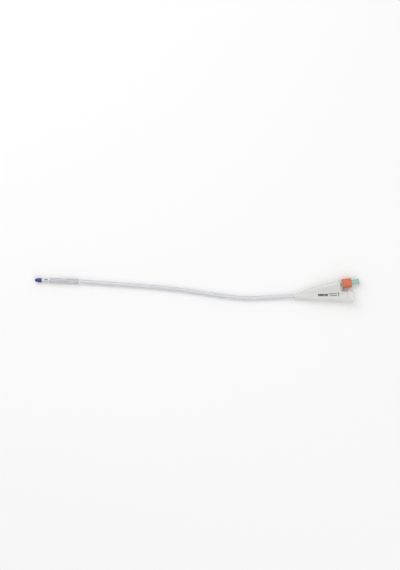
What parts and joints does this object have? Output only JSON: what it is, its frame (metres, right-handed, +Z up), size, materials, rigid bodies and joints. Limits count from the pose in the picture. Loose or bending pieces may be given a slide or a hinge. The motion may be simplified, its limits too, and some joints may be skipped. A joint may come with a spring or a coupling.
{
  "type": "foley catheter",
  "caption": "Two-way silicone urinary balloon catheter with a blue closed tip, drainage funnel and a side arm with a sprung luer valve in an orange sleeve.",
  "frame": {"origin": "centre of the model's box, on the surface that the catheter lies on", "axes": "+X from the tip to the drainage funnel, +Y to the side of the inflation arm, +Z up from the surface"},
  "size_m": [0.3988, 0.031, 0.0163],
  "materials": {
    "shaft": "translucent milky silicone, satin",
    "tip": "blue silicone, satin",
    "balloon": "clear silicone, satin",
    "funnel": "translucent olive-grey silicone, satin",
    "valve_sleeve": "orange silicone, satin",
    "valve_inlet": "teal moulded plastic",
    "valve_barrel": "grey-green moulded plastic",
    "valve_stem": "white moulded plastic",
    "valve_seal": "black rubber",
    "valve_spring": "bright spring wire"
  },
  "bodies": {
    "catheter": {"shaft": "shaft", "tip": "tip", "balloon": "balloon", "funnel": "funnel", "valve_sleeve": "valve_sleeve", "valve_inlet": "valve_inlet", "valve_barrel": "valve_barrel", "valve_spring": "valve_spring"},
    "plunger": {"valve_stem": "valve_stem", "valve_seal": "valve_seal"}
  },
  "joints": [
    {"name": "stem_push", "type": "slide", "parent": "catheter", "child": "plunger", "axis": [-0.9888, -0.1495, 0], "range_m": [0, 0.0016], "stiffness_N_per_m": 150, "deforming": ["valve_spring"]}
  ]
}
